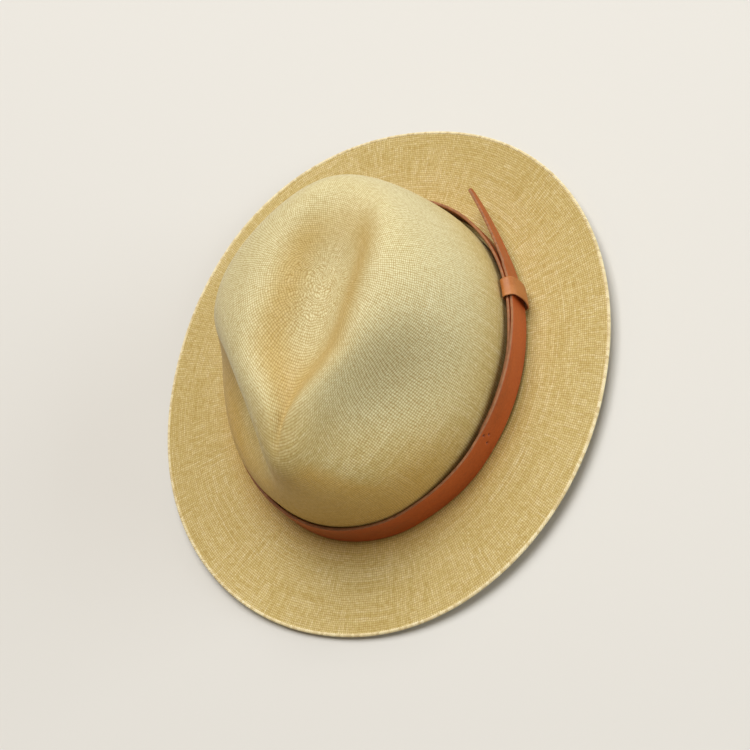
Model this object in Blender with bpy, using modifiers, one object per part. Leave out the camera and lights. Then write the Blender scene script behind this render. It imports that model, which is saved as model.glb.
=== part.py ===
"""Panama hat with a leather hatband: woven straw body, band with keeper, and sewn-in sweatband.

Metres, +Z up.  The hat stands on its brim with the front of the brim towards -Y and the
wearer's left towards +X.  The origin is under the middle of the brim, at the level it rests on.
"""

import math

import bmesh
import bpy
from mathutils import Matrix, Vector

# Straw body: one woven piece, crown and brim
STRAW = 0.0012                  # thickness of the woven straw
BRIM_HALF_WIDTH = 0.1390
BRIM_HALF_LENGTH = 0.1594
BRIM_SQUARENESS = 2.07          # 2 is a plain ellipse
BRIM_LAND = 0.27                # inner share of the brim that is still flat
EDGE_LEVEL = 0.0061             # top of the brim's edge, mean
EDGE_SIDE_RISE = 0.0035         # edge higher at the sides
EDGE_FRONT_DIP = 0.0023         # edge lower at the front and higher at the back
CROWN_HALF_WIDTH = 0.0863
CROWN_HALF_LENGTH = 0.1028
CROWN_HEIGHT = 0.1145
BREAK_RISE = 0.0080             # the break line between crown and brim is higher at the sides
FLAT_SHARE = 0.115              # the break line stays flat within 20 degrees of front and back

# How the crown's wall leans in and how square its shoulder is, at the side, front and back
SIDE_LEAN, FRONT_LEAN, BACK_LEAN = 0.085, 0.02, 0.155
SIDE_SQUARE, FRONT_SQUARE, BACK_SQUARE = 3.2, 8.0, 4.2
FRONT_DROP = 0.13               # the pinched front is lower than the middle
FRONT_PINCH, BACK_PINCH = 0.45, 0.25    # narrowing of the upper crown

# Hand-pressed dents
CREASE_DEPTH = 0.020
SCOOP_RUN = math.radians(30)            # angle of a scoop's long axis from straight back
# Side, depth, centre, and size across, along and up of each scoop
SCOOPS = ((1, 0.0130, (0.042, -0.047, 0.079), (0.021, 0.042, 0.030)),
          (-1, 0.0160, (-0.049, -0.058, 0.072), (0.024, 0.042, 0.026)))

# Leather hatband
STRAP_WIDTH = 0.0195
STRAP_THICK = 0.0018
STRAP_GAP = 0.0005              # between the straw and the strap where the strap is single
KEEPER_WALL = 0.0012
SLIDE_GAP = 0.0005              # between the keeper and what it slides on
STRAP_FOOT = 0.0004             # between the strap and the break line where the strap is single
STRAP_LIFT = 0.0024             # room under the strap for the keeper
STRAP_LOOSE = 0.0022            # slack behind the crown
LAYER_GAP = 0.0004              # between the strap's two layers
LAP_START, LAP_END = 64.3, 122.0        # degrees from the front where the strap is doubled
TAIL_LENGTH = 0.064
TAIL_TIP_WIDTH = 0.0055
TAIL_TURN = math.radians(10.0)
TAIL_TAPER = 1.3                # 1 would taper evenly from the lap to the tip
TAIL_TWIST = 0.10               # how far the tip's foot swings out
KEEPER_LENGTH = 0.0125
KEEPER_PLACE = 0.042            # how far behind the middle the keeper sits
KEEPER_OFFSET = 0.005           # middle of the keeper, outward from the straw
KEEPER_PLAY = 0.0009            # loose fit above and below the strap
KEEPER_CORNER = 0.0012
TACK_PLACE = 65.9               # degrees from the front

# Sweatband and what holds it
SWEATBAND_HEIGHT = 0.0265
SWEATBAND_THICK = 0.0010
WELT_THICK = 0.0004
WELT_HEIGHT = 0.0060
REED_RADIUS = 0.0011
THREAD_RADIUS = 0.0003
RING_GAP = 0.0004
STITCH_MARGIN = 0.0020          # the running thread above the sweatband's lower edge
SEAM_CROSSINGS, SEAM_FOOT, SEAM_PITCH, SEAM_SWING = 9, 0.0075, 0.0024, 0.0016
BOW_WIDTH, BOW_HEIGHT, BOW_THICK = 0.024, 0.009, 0.0012
BOW_LEVEL, BOW_STANDOFF = 0.0120, 0.0019

# Fineness of the meshes: columns round the hat, rings in degrees up the crown, rings in shares of the brim
COLUMNS = 56
STEP = 360.0 / COLUMNS
CROWN_RINGS = (90, 82, 75, 68, 62, 56, 51, 47, 43, 39, 35, 31, 27, 23, 19, 14.7, 9.9, 5, 0)
BRIM_RINGS = (0.04, 0.10, 0.18, 0.27, 0.38, 0.50, 0.62, 0.75, 0.88, 1.0)
TAIL_CELLS = 9
KEEPER_CELLS = 3
SWEATBAND_ROWS = 3
MERGE = 0.00001

SWEATBAND_FOOT = 2 * REED_RADIUS + 2 * RING_GAP     # the sweatband stands on the reed
SWEATBAND_OUT = -(STRAW + WELT_THICK + 2 * RING_GAP)
SWEATBAND_IN = SWEATBAND_OUT - SWEATBAND_THICK
THREAD_OFFSET = SWEATBAND_IN - RING_GAP - THREAD_RADIUS

# The strap's path along the side of the crown is close to an arc about this axis, round which the
# keeper slides.  The axis leans because the path drops towards the back and the crown leans in.
SLIDE_POINT = Vector((-0.0310, 0, 0.0200))
SLIDE_TILT = math.radians(-2.5)
SLIDE_SKEW = math.radians(1.8)
SLIDE_AXIS = Vector((math.sin(SLIDE_TILT), math.sin(SLIDE_SKEW), math.cos(SLIDE_TILT))).normalized()


def smooth(value, low, high):
    """A soft step from 0 at low to 1 at high."""
    share = min(max((value - low) / (high - low), 0.0), 1.0)
    return share * share * (3 - 2 * share)


def blend_around(theta, side, front, back):
    """A value that is side at the sides and turns into front and back."""
    to_front = max(math.cos(theta), 0.0) ** 3
    to_back = max(-math.cos(theta), 0.0) ** 2
    return side + (front - side) * to_front + (back - side) * to_back


def break_level(theta):
    """Height of the straw's top surface along the break line."""
    share = max(math.sin(theta) ** 2 - FLAT_SHARE, 0.0) / (1 - FLAT_SHARE)
    return STRAW + BREAK_RISE * share


def open_crown(theta, slope):
    """The crown before it is dented: theta from the front, slope 0 at the break and 90 degrees on top."""
    lean = blend_around(theta, SIDE_LEAN, FRONT_LEAN, BACK_LEAN)
    square = blend_around(theta, SIDE_SQUARE, FRONT_SQUARE, BACK_SQUARE)
    across, up = math.cos(slope), math.sin(slope)
    reach = (across ** square + up ** square) ** (-1 / square)
    radius = across * reach * (1 - lean * up * reach)
    x = CROWN_HALF_WIDTH * radius * math.sin(theta)
    y = -CROWN_HALF_LENGTH * radius * math.cos(theta)
    z = CROWN_HEIGHT * up * reach
    z *= 1 - FRONT_DROP * smooth(-y, 0, 0.100) ** 1.5
    high = smooth(z, 0.029, 0.095)
    x *= 1 - FRONT_PINCH * high * smooth(-y, 0, 0.095) - BACK_PINCH * high * smooth(y, 0.010, 0.095)
    return Vector((x, y, z))


def crease(x, y, z):
    """Depth of the long crease: a narrow fold behind the tip that opens into a wide flat-bottomed dip."""
    half = 0.003 + 0.0195 * smooth(y, -0.076, -0.025) * (1 - 0.45 * smooth(y, 0.020, 0.090))
    along = smooth(y, -0.100, -0.010) * (1 - smooth(y, 0.015, 0.098))
    middle = 0.0065 + 0.10 * y
    steep = 1.8 + 0.8 * smooth(y, -0.070, -0.010)
    return CREASE_DEPTH * along * math.exp(-(abs(x - middle) / half) ** steep) * smooth(z, 0.050, 0.085)


def dent(point):
    """Press the long crease into the top and a scoop into each side of the front."""
    x, y, z = point
    moved = Vector((x, y, z - crease(x, y, z)))
    for side, deepest, centre, size in SCOOPS:
        ahead = Vector((side * math.sin(SCOOP_RUN), math.cos(SCOOP_RUN), 0))
        out = Vector((side * math.cos(SCOOP_RUN), -math.sin(SCOOP_RUN), 0))
        away = Vector((x - centre[0], y - centre[1], 0))
        spread = (away.dot(out) / size[0]) ** 2 + (away.dot(ahead) / size[1]) ** 2
        spread += ((z - centre[2]) / size[2]) ** 2
        depth = deepest * math.exp(-spread) * smooth(z, 0.030, 0.055)
        moved -= out * 0.9 * depth + Vector((0, 0, 0.45 * depth))
    return moved


def crown_point(theta, slope):
    """A point on the finished crown's outer surface."""
    point = dent(open_crown(theta, slope))
    point.z += STRAW + (break_level(theta) - STRAW) * min(max(1 - point.z / 0.060, 0.0), 1.0)
    return point


def brim_point(theta, share):
    """A point on the brim's top surface, share 0 at the break line and 1 at the edge."""
    side, ahead = math.sin(theta), math.cos(theta)
    reach = (abs(side) ** BRIM_SQUARENESS + abs(ahead) ** BRIM_SQUARENESS) ** (-1 / BRIM_SQUARENESS)
    edge = Vector((BRIM_HALF_WIDTH * reach * side, -BRIM_HALF_LENGTH * reach * ahead, 0))
    start = Vector((CROWN_HALF_WIDTH * side, -CROWN_HALF_LENGTH * ahead, 0))
    point = start.lerp(edge, share)
    level = EDGE_LEVEL + EDGE_SIDE_RISE * side ** 2 - EDGE_FRONT_DIP * ahead - 0.0008 * math.cos(4 * theta)
    climb = max((share - BRIM_LAND) / (1 - BRIM_LAND), 0.0) ** 1.3
    point.z = break_level(theta) + (level - break_level(theta)) * climb
    return point


def wall_point(theta, height, offset):
    """A point beside the crown's wall: height above the straw's break line, offset outward from the straw."""
    lean = blend_around(theta, SIDE_LEAN, FRONT_LEAN, BACK_LEAN)
    square = blend_around(theta, SIDE_SQUARE, FRONT_SQUARE, BACK_SQUARE)
    up = height / CROWN_HEIGHT
    radius = (1 - max(up, 0.0) ** square) ** (1 / square) * (1 - lean * up)
    x = CROWN_HALF_WIDTH * radius * math.sin(theta)
    y = -CROWN_HALF_LENGTH * radius * math.cos(theta)
    out = Vector((math.sin(theta) / CROWN_HALF_WIDTH, -math.cos(theta) / CROWN_HALF_LENGTH, 0)).normalized()
    return Vector((x, y, break_level(theta) + height)) + out * offset


def new_object(name, data):
    """Link a new object to the hat's collection."""
    obj = bpy.data.objects.new(name, data)
    hat.objects.link(obj)
    return obj


def finish(obj, colour, roughness):
    """Give a piece its material and smooth shading."""
    material = bpy.data.materials.new(obj.name)
    material.use_nodes = True
    shader = material.node_tree.nodes["Principled BSDF"]
    shader.inputs["Base Color"].default_value = (*colour, 1)
    shader.inputs["Roughness"].default_value = roughness
    shader.inputs["Metallic"].default_value = 0
    obj.data.materials.append(material)
    if obj.type == "MESH":
        obj.data.shade_smooth()
        obj.data.set_sharp_from_angle(angle=math.radians(40))


def thicken(obj, thickness, offset):
    """Turn an open surface into a closed sheet."""
    shell = obj.modifiers.new("Thickness", "SOLIDIFY")
    shell.thickness = thickness
    shell.offset = offset
    shell.use_even_offset = True
    shell.use_quality_normals = True


def soften(obj, width):
    """Round the cut edges of a strip of leather."""
    bevel = obj.modifiers.new("Rounded edges", "BEVEL")
    bevel.width = width
    bevel.segments = 1
    bevel.limit_method = "ANGLE"
    bevel.angle_limit = math.radians(60)


def strip(name, columns, rows, place, closed=False):
    """Wrap a flat grid of columns by rows cells: place(column, row) says where each corner goes."""
    mesh = bpy.data.meshes.new(name)
    work = bmesh.new()
    bmesh.ops.create_grid(work, x_segments=columns, y_segments=rows, size=0.5)
    for corner in work.verts:
        column = (corner.co.x + 0.5) * columns
        row = (corner.co.y + 0.5) * rows
        corner.co = place(column, row)
    if closed:
        bmesh.ops.remove_doubles(work, verts=work.verts, dist=MERGE)
    work.to_mesh(mesh)
    work.free()
    return new_object(name, mesh)


def ring_tube(name, radius, height, offset, sides):
    """A thin round ring that follows the crown's wall at one height and offset."""
    curve = bpy.data.curves.new(name, "CURVE")
    curve.dimensions = "3D"
    curve.bevel_depth = radius
    curve.bevel_resolution = sides
    spline = curve.splines.new("POLY")
    spline.points.add(COLUMNS - 1)
    for column, point in enumerate(spline.points):
        point.co = (*wall_point(math.radians(column * STEP), height, offset), 1)
    spline.use_cyclic_u = True
    return new_object(name, curve)


def open_tube(name, radius, points, sides):
    """A thin round thread through the given points, with closed ends."""
    curve = bpy.data.curves.new(name, "CURVE")
    curve.dimensions = "3D"
    curve.bevel_depth = radius
    curve.bevel_resolution = sides
    curve.use_fill_caps = True
    spline = curve.splines.new("POLY")
    spline.points.add(len(points) - 1)
    for corner, point in zip(spline.points, points):
        corner.co = (*point, 1)
    return new_object(name, curve)


def turned_disc(name, radii):
    """The flat round weave that the hat is blocked from: rings at the given radii."""
    profile = bpy.data.meshes.new(name)
    corners = [(radius, 0, -radius) for radius in radii]
    profile.from_pydata(corners, [(k, k + 1) for k in range(len(radii) - 1)], [])
    obj = new_object(name, profile)
    screw = obj.modifiers.new("Turn", "SCREW")
    screw.steps = COLUMNS
    screw.render_steps = COLUMNS
    screw.use_merge_vertices = True
    screw.merge_threshold = MERGE
    depsgraph = bpy.context.evaluated_depsgraph_get()
    turned = bpy.data.meshes.new_from_object(obj.evaluated_get(depsgraph))
    obj.modifiers.clear()
    obj.data = turned
    bpy.data.meshes.remove(profile)
    return obj


def make_straw_body():
    """Block the flat weave into crown and brim, then give it its thickness."""
    radii = [1 - slope / 90 for slope in CROWN_RINGS] + [1 + share for share in BRIM_RINGS]
    obj = turned_disc("straw_body", radii)
    for corner in obj.data.vertices:
        radius = math.hypot(corner.co.x, corner.co.y)
        theta = math.atan2(corner.co.x, -corner.co.y)
        if radius > 1 + MERGE:
            corner.co = brim_point(theta, radius - 1)
        else:
            corner.co = crown_point(theta, math.radians(90 * (1 - min(radius, 1))))
    thicken(obj, STRAW, -1)
    finish(obj, (0.74, 0.58, 0.30), 0.65)


def lap_share(degrees):
    """1 where the strap is doubled, 0 where it is single."""
    turn = (degrees + 180) % 360 - 180
    return smooth(turn, LAP_START - 4, LAP_START + 17) * (1 - smooth(turn, LAP_END + 4, LAP_END + 50))


def inner_layer(degrees):
    """Middle of the strap's first layer, outward from the straw."""
    single = STRAP_GAP + STRAP_THICK / 2 + STRAP_LOOSE * smooth(-math.cos(math.radians(degrees)), 0.64, 0.95)
    doubled = KEEPER_WALL + 2 * SLIDE_GAP + STRAP_THICK / 2
    return single + (doubled - single) * lap_share(degrees)


def outer_layer(degrees):
    """Middle of the strap's second layer, which rises off the first one as the lap begins."""
    second = smooth(degrees, LAP_START + 326, LAP_START + 353)
    return inner_layer(degrees) + (STRAP_THICK + LAYER_GAP) * second


def strap_bottom(degrees):
    """Height of the strap's lower edge above the straw's break line."""
    return STRAP_FOOT + STRAP_LIFT * lap_share(degrees)


def make_strap():
    """One strip of leather that laps over its own start and ends in a free tail."""
    wrap = round((360 + LAP_END - LAP_START) / STEP)
    last = LAP_START + wrap * STEP
    leave = wall_point(math.radians(last), 0, outer_layer(last))
    before = wall_point(math.radians(last - 1), 0, outer_layer(last - 1))
    heading = math.atan2(leave.y - before.y, leave.x - before.x)
    side = Vector((math.sin(heading), -math.cos(heading), 0))
    lean = SIDE_LEAN * CROWN_HALF_WIDTH / CROWN_HEIGHT
    middle = strap_bottom(last) + STRAP_WIDTH / 2
    tail = [leave]
    for k in range(TAIL_CELLS):
        turn = heading + TAIL_TURN * (k + 0.5) / TAIL_CELLS
        tail.append(tail[-1] + Vector((math.cos(turn), math.sin(turn), 0)) * TAIL_LENGTH / TAIL_CELLS)

    def place(column, row):
        """Wrap the strip round the crown, then along the free tail."""
        column = round(column)
        if column <= wrap:
            degrees = LAP_START + column * STEP
            height = strap_bottom(degrees) + row * STRAP_WIDTH
            return wall_point(math.radians(degrees), height, outer_layer(degrees))
        share = (column - wrap) / TAIL_CELLS
        half = 0.5 * (STRAP_WIDTH + (TAIL_TIP_WIDTH - STRAP_WIDTH) * share ** TAIL_TAPER)
        rise = half * (2 * row - 1)
        inward = lean * (middle + rise) + TAIL_TWIST * rise * share
        return tail[column - wrap] - side * inward + Vector((0, 0, middle + rise))

    obj = strip("hatband_strap", wrap + TAIL_CELLS, 1, place)
    thicken(obj, STRAP_THICK, 0)
    soften(obj, 0.0004)
    finish(obj, (0.36, 0.13, 0.045), 0.5)


def keeper_outline(degrees):
    """The keeper's cross-section round the doubled strap, as (outward, up) from the foot of the straw."""
    wall = KEEPER_WALL / 2
    low = strap_bottom(degrees) - KEEPER_PLAY - wall
    high = strap_bottom(degrees) + STRAP_WIDTH + KEEPER_PLAY + wall
    near = inner_layer(degrees) - STRAP_THICK / 2 - SLIDE_GAP - wall
    far = inner_layer(degrees) + 1.5 * STRAP_THICK + LAYER_GAP + SLIDE_GAP + wall
    inset = KEEPER_CORNER
    centres = ((far - inset, high - inset), (near + inset, high - inset),
               (near + inset, low + inset), (far - inset, low + inset))
    outline = []
    for quarter, (across, up) in enumerate(centres):
        for turn in (0, 30, 60, 90):
            direction = math.radians(90 * quarter + turn)
            outline.append((across + inset * math.cos(direction), up + inset * math.sin(direction)))
    return outline


def make_keeper():
    """A loop of leather round both layers of the strap, free to slide along them."""
    theta = math.acos(-KEEPER_PLACE / (CROWN_HALF_LENGTH + KEEPER_OFFSET))
    arc = math.hypot(CROWN_HALF_WIDTH * math.cos(theta), CROWN_HALF_LENGTH * math.sin(theta)) + KEEPER_OFFSET
    outline = keeper_outline(math.degrees(theta))

    def place(column, row):
        """Column runs round the loop, row along the strap."""
        across, up = outline[round(column) % len(outline)]
        turn = theta + (0.5 - row / KEEPER_CELLS) * KEEPER_LENGTH / arc
        return wall_point(turn, up, across)

    obj = strip("hatband_keeper", len(outline), KEEPER_CELLS, place, closed=True)
    thicken(obj, KEEPER_WALL, 0)
    finish(obj, (0.50, 0.20, 0.07), 0.45)
    seat = Matrix.Translation(SLIDE_POINT) @ SLIDE_AXIS.to_track_quat("Z", "Y").to_matrix().to_4x4()
    obj.data.transform(seat.inverted())
    obj.matrix_world = seat


def make_tack_thread():
    """The small tacking stitch that holds the strap's inner end to its outer layer."""
    face = outer_layer(TACK_PLACE + 360) + STRAP_THICK / 2
    places = ((TACK_PLACE, 0.0170), (TACK_PLACE + 1.4, 0.0122), (TACK_PLACE - 1.2, 0.0098))
    points = [wall_point(math.radians(turn), height, face + THREAD_RADIUS + RING_GAP)
              for turn, height in places]
    obj = open_tube("hatband_tack_thread", THREAD_RADIUS, points, 1)
    finish(obj, (0.10, 0.04, 0.02), 0.8)


def make_sweatband():
    """Leather band inside the crown, standing on the reed."""
    def place(column, row):
        height = SWEATBAND_FOOT + row / SWEATBAND_ROWS * SWEATBAND_HEIGHT
        return wall_point(math.radians(column * STEP), height, SWEATBAND_OUT)

    obj = strip("sweatband", COLUMNS, SWEATBAND_ROWS, place, closed=True)
    thicken(obj, SWEATBAND_THICK, -1)
    finish(obj, (0.30, 0.16, 0.08), 0.55)


def make_welt():
    """Thin tape behind the sweatband, sewn to the straw."""
    def place(column, row):
        height = SWEATBAND_FOOT + row * WELT_HEIGHT
        return wall_point(math.radians(column * STEP), height, -(STRAW + RING_GAP))

    obj = strip("sweatband_welt", COLUMNS, 1, place, closed=True)
    thicken(obj, WELT_THICK, -1)
    finish(obj, (0.12, 0.10, 0.09), 0.7)


def make_reed():
    """Plastic reed that stiffens the sweatband's lower edge."""
    obj = ring_tube("sweatband_reed", REED_RADIUS, RING_GAP + REED_RADIUS, SWEATBAND_IN, 2)
    finish(obj, (0.16, 0.10, 0.06), 0.4)


def make_sweatband_thread():
    """The running thread that sews the sweatband to the straw."""
    obj = ring_tube("sweatband_thread", THREAD_RADIUS, SWEATBAND_FOOT + STITCH_MARGIN, THREAD_OFFSET, 1)
    finish(obj, (0.55, 0.42, 0.26), 0.8)


def make_seam_thread():
    """Zigzag thread that joins the sweatband's ends at the back."""
    points = []
    for k in range(SEAM_CROSSINGS):
        swing = SEAM_SWING if k % 2 else -SEAM_SWING
        points.append(wall_point(math.pi + swing / CROWN_HALF_WIDTH, SEAM_FOOT + SEAM_PITCH * k, THREAD_OFFSET))
    obj = open_tube("sweatband_seam_thread", THREAD_RADIUS, points, 1)
    finish(obj, (0.20, 0.12, 0.07), 0.8)


def make_bow():
    """Small flat bow over the sweatband's back seam."""
    half, height = BOW_WIDTH / 2, BOW_HEIGHT / 2
    quarter = ((0.0018, height * 0.32), (half * 0.55, height * 0.80),
               (half * 0.92, height), (half, height * 0.72))
    outline = list(quarter)
    outline += [(x, -z) for x, z in reversed(quarter)]
    outline += [(-x, -z) for x, z in quarter]
    outline += [(-x, z) for x, z in reversed(quarter)]
    curve = bpy.data.curves.new("sweatband_bow", "CURVE")
    curve.dimensions = "2D"
    curve.fill_mode = "BOTH"
    curve.extrude = BOW_THICK / 2
    spline = curve.splines.new("POLY")
    spline.points.add(len(outline) - 1)
    for corner, (x, z) in zip(spline.points, outline):
        corner.co = (x, z, 0, 1)
    spline.use_cyclic_u = True
    obj = new_object("sweatband_bow", curve)
    seat = wall_point(math.pi, BOW_LEVEL, SWEATBAND_IN)
    obj.location = (0, seat.y - BOW_STANDOFF - BOW_THICK / 2, seat.z)
    obj.rotation_euler = (math.radians(90), 0, 0)
    finish(obj, (0.10, 0.06, 0.04), 0.6)


for old in list(bpy.data.objects):
    bpy.data.objects.remove(old, do_unlink=True)

hat = bpy.data.collections.new("panama_hat")
bpy.context.scene.collection.children.link(hat)

make_straw_body()
make_strap()
make_keeper()
make_tack_thread()
make_sweatband()
make_welt()
make_reed()
make_sweatband_thread()
make_seam_thread()
make_bow()
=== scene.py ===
"""Looks of the panama hat: blocked straw, leather hatband with keeper, sewn-in sweatband.

Metres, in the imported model's frame: +Z up, front of the brim towards -Y, wearer's left towards +X.
"""

import math

import bmesh
import bpy
import numpy as np
from mathutils import Matrix, Vector


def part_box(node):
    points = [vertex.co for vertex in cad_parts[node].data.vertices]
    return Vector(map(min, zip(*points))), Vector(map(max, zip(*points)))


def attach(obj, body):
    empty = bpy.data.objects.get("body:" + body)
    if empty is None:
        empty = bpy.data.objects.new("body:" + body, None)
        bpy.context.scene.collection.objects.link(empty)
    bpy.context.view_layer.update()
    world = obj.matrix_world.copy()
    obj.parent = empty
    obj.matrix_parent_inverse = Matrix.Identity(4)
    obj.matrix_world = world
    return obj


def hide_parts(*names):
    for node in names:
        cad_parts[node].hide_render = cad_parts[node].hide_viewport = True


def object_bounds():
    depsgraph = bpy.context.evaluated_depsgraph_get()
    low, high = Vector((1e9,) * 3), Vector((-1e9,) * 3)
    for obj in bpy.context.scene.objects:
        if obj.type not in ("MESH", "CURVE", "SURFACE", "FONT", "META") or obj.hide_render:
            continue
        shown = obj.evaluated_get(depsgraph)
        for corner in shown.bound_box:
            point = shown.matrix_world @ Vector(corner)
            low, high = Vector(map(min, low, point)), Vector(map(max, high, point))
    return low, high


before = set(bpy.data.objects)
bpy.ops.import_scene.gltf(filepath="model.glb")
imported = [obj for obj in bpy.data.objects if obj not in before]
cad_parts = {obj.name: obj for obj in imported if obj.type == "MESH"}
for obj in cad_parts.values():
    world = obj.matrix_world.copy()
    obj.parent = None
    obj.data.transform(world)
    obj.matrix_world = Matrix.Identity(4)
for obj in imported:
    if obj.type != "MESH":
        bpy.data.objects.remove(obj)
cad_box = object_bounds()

# ---------------------------------------------------------------- driving sizes, as in the CAD model

STRAW = 0.0012
BRIM_HALF_WIDTH, BRIM_HALF_LENGTH, BRIM_SQUARENESS = 0.1390, 0.1594, 2.07
BRIM_LAND = 0.27
EDGE_LEVEL, EDGE_SIDE_RISE, EDGE_FRONT_DIP = 0.0061, 0.0035, 0.0023
CROWN_HALF_WIDTH, CROWN_HALF_LENGTH, CROWN_HEIGHT = 0.0863, 0.1028, 0.1145
BREAK_RISE, FLAT_SHARE = 0.0080, 0.115
SIDE_LEAN, FRONT_LEAN, BACK_LEAN = 0.085, 0.02, 0.155
SIDE_SQUARE, FRONT_SQUARE, BACK_SQUARE = 3.2, 8.0, 4.2
FRONT_DROP = 0.13
FRONT_PINCH, BACK_PINCH = 0.45, 0.25
CREASE_DEPTH = 0.020
SCOOP_RUN = math.radians(30)
# Side, depth, centre, and size across, along and up of each scoop
SCOOPS = ((1, 0.0130, (0.042, -0.047, 0.079), (0.021, 0.042, 0.030)),
          (-1, 0.0160, (-0.049, -0.058, 0.072), (0.024, 0.042, 0.026)))
SWIRL_SIDE, SWIRL_BACK = 0.004, 0.016   # where the weave starts, from the middle of the crown

STRAP_WIDTH, STRAP_THICK = 0.0195, 0.0018
STRAP_GAP, SLIDE_GAP, LAYER_GAP = 0.0005, 0.0005, 0.0004
STRAP_FOOT, STRAP_LIFT, STRAP_LOOSE = 0.0004, 0.0024, 0.0032
LAP_START, LAP_END = 64.3, 122.0
TAIL_LENGTH, TAIL_TIP_WIDTH = 0.064, 0.0055
TAIL_TURN, TAIL_TAPER, TAIL_TWIST = math.radians(10.0), 1.3, 0.10
KEEPER_WALL, KEEPER_LENGTH, KEEPER_PLACE = 0.0012, 0.0125, 0.042
KEEPER_OFFSET, KEEPER_PLAY = 0.005, 0.0009
TACK_PLACE = 65.9

SWEATBAND_HEIGHT, SWEATBAND_THICK = 0.0265, 0.0010
WELT_THICK, WELT_HEIGHT = 0.0004, 0.0060
REED_RADIUS, THREAD_RADIUS, RING_GAP = 0.0011, 0.0003, 0.0004
SWEATBAND_FOOT = 2 * REED_RADIUS + 2 * RING_GAP
SWEATBAND_OUT = -(STRAW + WELT_THICK + 2 * RING_GAP)
SWEATBAND_IN = SWEATBAND_OUT - SWEATBAND_THICK
STITCH_MARGIN = 0.0020

# Looks only
COLUMNS = 336
CROWN_RINGS = 112
BRIM_RINGS = 38
STRAND = 0.00128                # pitch of the weave
FACE_ROWS, BACK_ROWS = 44, 8
EDGE_ROUND = 0.0007
ROW_ZONE = 0.0095               # rings this wide keep one count of radial strands
LAP_STEPS, STEPS_AROUND = 65, 56
LAP_LAST = LAP_START + LAP_STEPS * 360 / STEPS_AROUND   # where the strap leaves the crown as the tail
# Degrees round the crown and height above the break line of each awl hole
TACK_HOLES = ((TACK_PLACE - 1.8, 0.0168), (TACK_PLACE - 0.4, 0.0128), (TACK_PLACE - 2.6, 0.0100))
HOLES_MIDDLE, HOLES_SPAN = TACK_PLACE - 1.5, 3.0
HOLE_RADIUS = 0.0006
LAP_NARROW = 0.0026                     # the covered end of the strap is pared down
KEEPER_SWELL, KEEPER_CORNER, KEEPER_LIP = 0.0021, 0.0024, 0.0006
KEEPER_SQUARENESS, KEEPER_SPACING = 0.45, 0.0009
FOLD_RADIUS = 0.0014
RING_COLUMNS = 288
STITCHES, STITCH_SHARE = 160, 0.36
SEAM_CROSSINGS, SEAM_SWING = 9, 0.0016
SEAM_LOW, SEAM_HIGH = 0.0075, 0.0267
RIBBON_THICK, RIBBON_WIDTH = 0.0003, 0.009
KNOT_HALF_WIDTH, KNOT_HEIGHT = 0.0019, 0.0038
RIM_TURNS, RIM_STRANDS = 240, 3
RIM_RADIUS, RIM_STRAND_RADIUS = 0.0006, 0.00055
LIGHT_DISTANCE, LIGHT_SIZE = 4.0, 3.0
FLOOR_HALF, FLOOR_GAP = 4.0, 0.0004

# Colours, as red, green and blue
STRAW_TONES = ((0.22, (0.43, 0.305, 0.085)), (0.42, (0.585, 0.465, 0.175)),
               (0.60, (0.70, 0.58, 0.27)), (0.82, (0.80, 0.70, 0.41)))
# Painted light in the straw: a paler painted highlight, a golden painted warm shade, and painted shade in the
# gaps between strands
STRAW_PAINTED_HIGHLIGHT, STRAW_WARM_SHADE, STRAW_GAP_SHADE = (0.88, 0.90, 0.62), (0.66, 0.40, 0.085), (0.38, 0.23, 0.052)
RIM_TONES = ((0.25, (0.64, 0.50, 0.24)), (0.5, (0.82, 0.70, 0.42)), (0.8, (0.92, 0.84, 0.58)))
# Near-black painted shade inside the awl holes and along the sweatband's back joint
HOLE_SHADE = (0.018, 0.008, 0.004)


# ---------------------------------------------------------------- shapes, worked out with numpy arrays

def smooth(value, low, high):
    """A soft step from 0 at low to 1 at high."""
    share = np.clip((np.asarray(value, float) - low) / (high - low), 0, 1)
    return share * share * (3 - 2 * share)


def blend_around(theta, side, front, back):
    """A value that is side at the sides and turns into front and back."""
    to_front = np.maximum(np.cos(theta), 0) ** 3
    to_back = np.maximum(-np.cos(theta), 0) ** 2
    return side + (front - side) * to_front + (back - side) * to_back


def break_level(theta):
    """Height of the straw's top surface along the break line."""
    return STRAW + BREAK_RISE * np.maximum(np.sin(theta) ** 2 - FLAT_SHARE, 0) / (1 - FLAT_SHARE)


def open_crown(theta, slope):
    """The crown before it is dented."""
    lean = blend_around(theta, SIDE_LEAN, FRONT_LEAN, BACK_LEAN)
    square = blend_around(theta, SIDE_SQUARE, FRONT_SQUARE, BACK_SQUARE)
    across, up = np.cos(slope), np.sin(slope)
    reach = (across ** square + up ** square) ** (-1 / square)
    radius = across * reach * (1 - lean * up * reach)
    x = CROWN_HALF_WIDTH * radius * np.sin(theta)
    y = -CROWN_HALF_LENGTH * radius * np.cos(theta)
    z = CROWN_HEIGHT * up * reach
    inner = np.clip(1 - radius, 0, 1) ** 2
    x = x + SWIRL_SIDE * inner
    y = y + SWIRL_BACK * inner
    z = z * (1 - FRONT_DROP * smooth(-y, 0, 0.100) ** 1.5)
    high = smooth(z, 0.029, 0.095)
    x = x * (1 - FRONT_PINCH * high * smooth(-y, 0, 0.095) - BACK_PINCH * high * smooth(y, 0.010, 0.095))
    return x, y, z


def crease(x, y, z):
    """Depth of the long crease: a narrow fold behind the tip that opens into a wide flat-bottomed dip."""
    half = 0.003 + 0.0195 * smooth(y, -0.076, -0.025) * (1 - 0.45 * smooth(y, 0.020, 0.090))
    along = smooth(y, -0.100, -0.010) * (1 - smooth(y, 0.015, 0.098))
    middle = 0.0065 + 0.10 * y
    steep = 1.8 + 0.8 * smooth(y, -0.070, -0.010)
    return CREASE_DEPTH * along * np.exp(-(np.abs(x - middle) / half) ** steep) * smooth(z, 0.050, 0.085)


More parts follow.
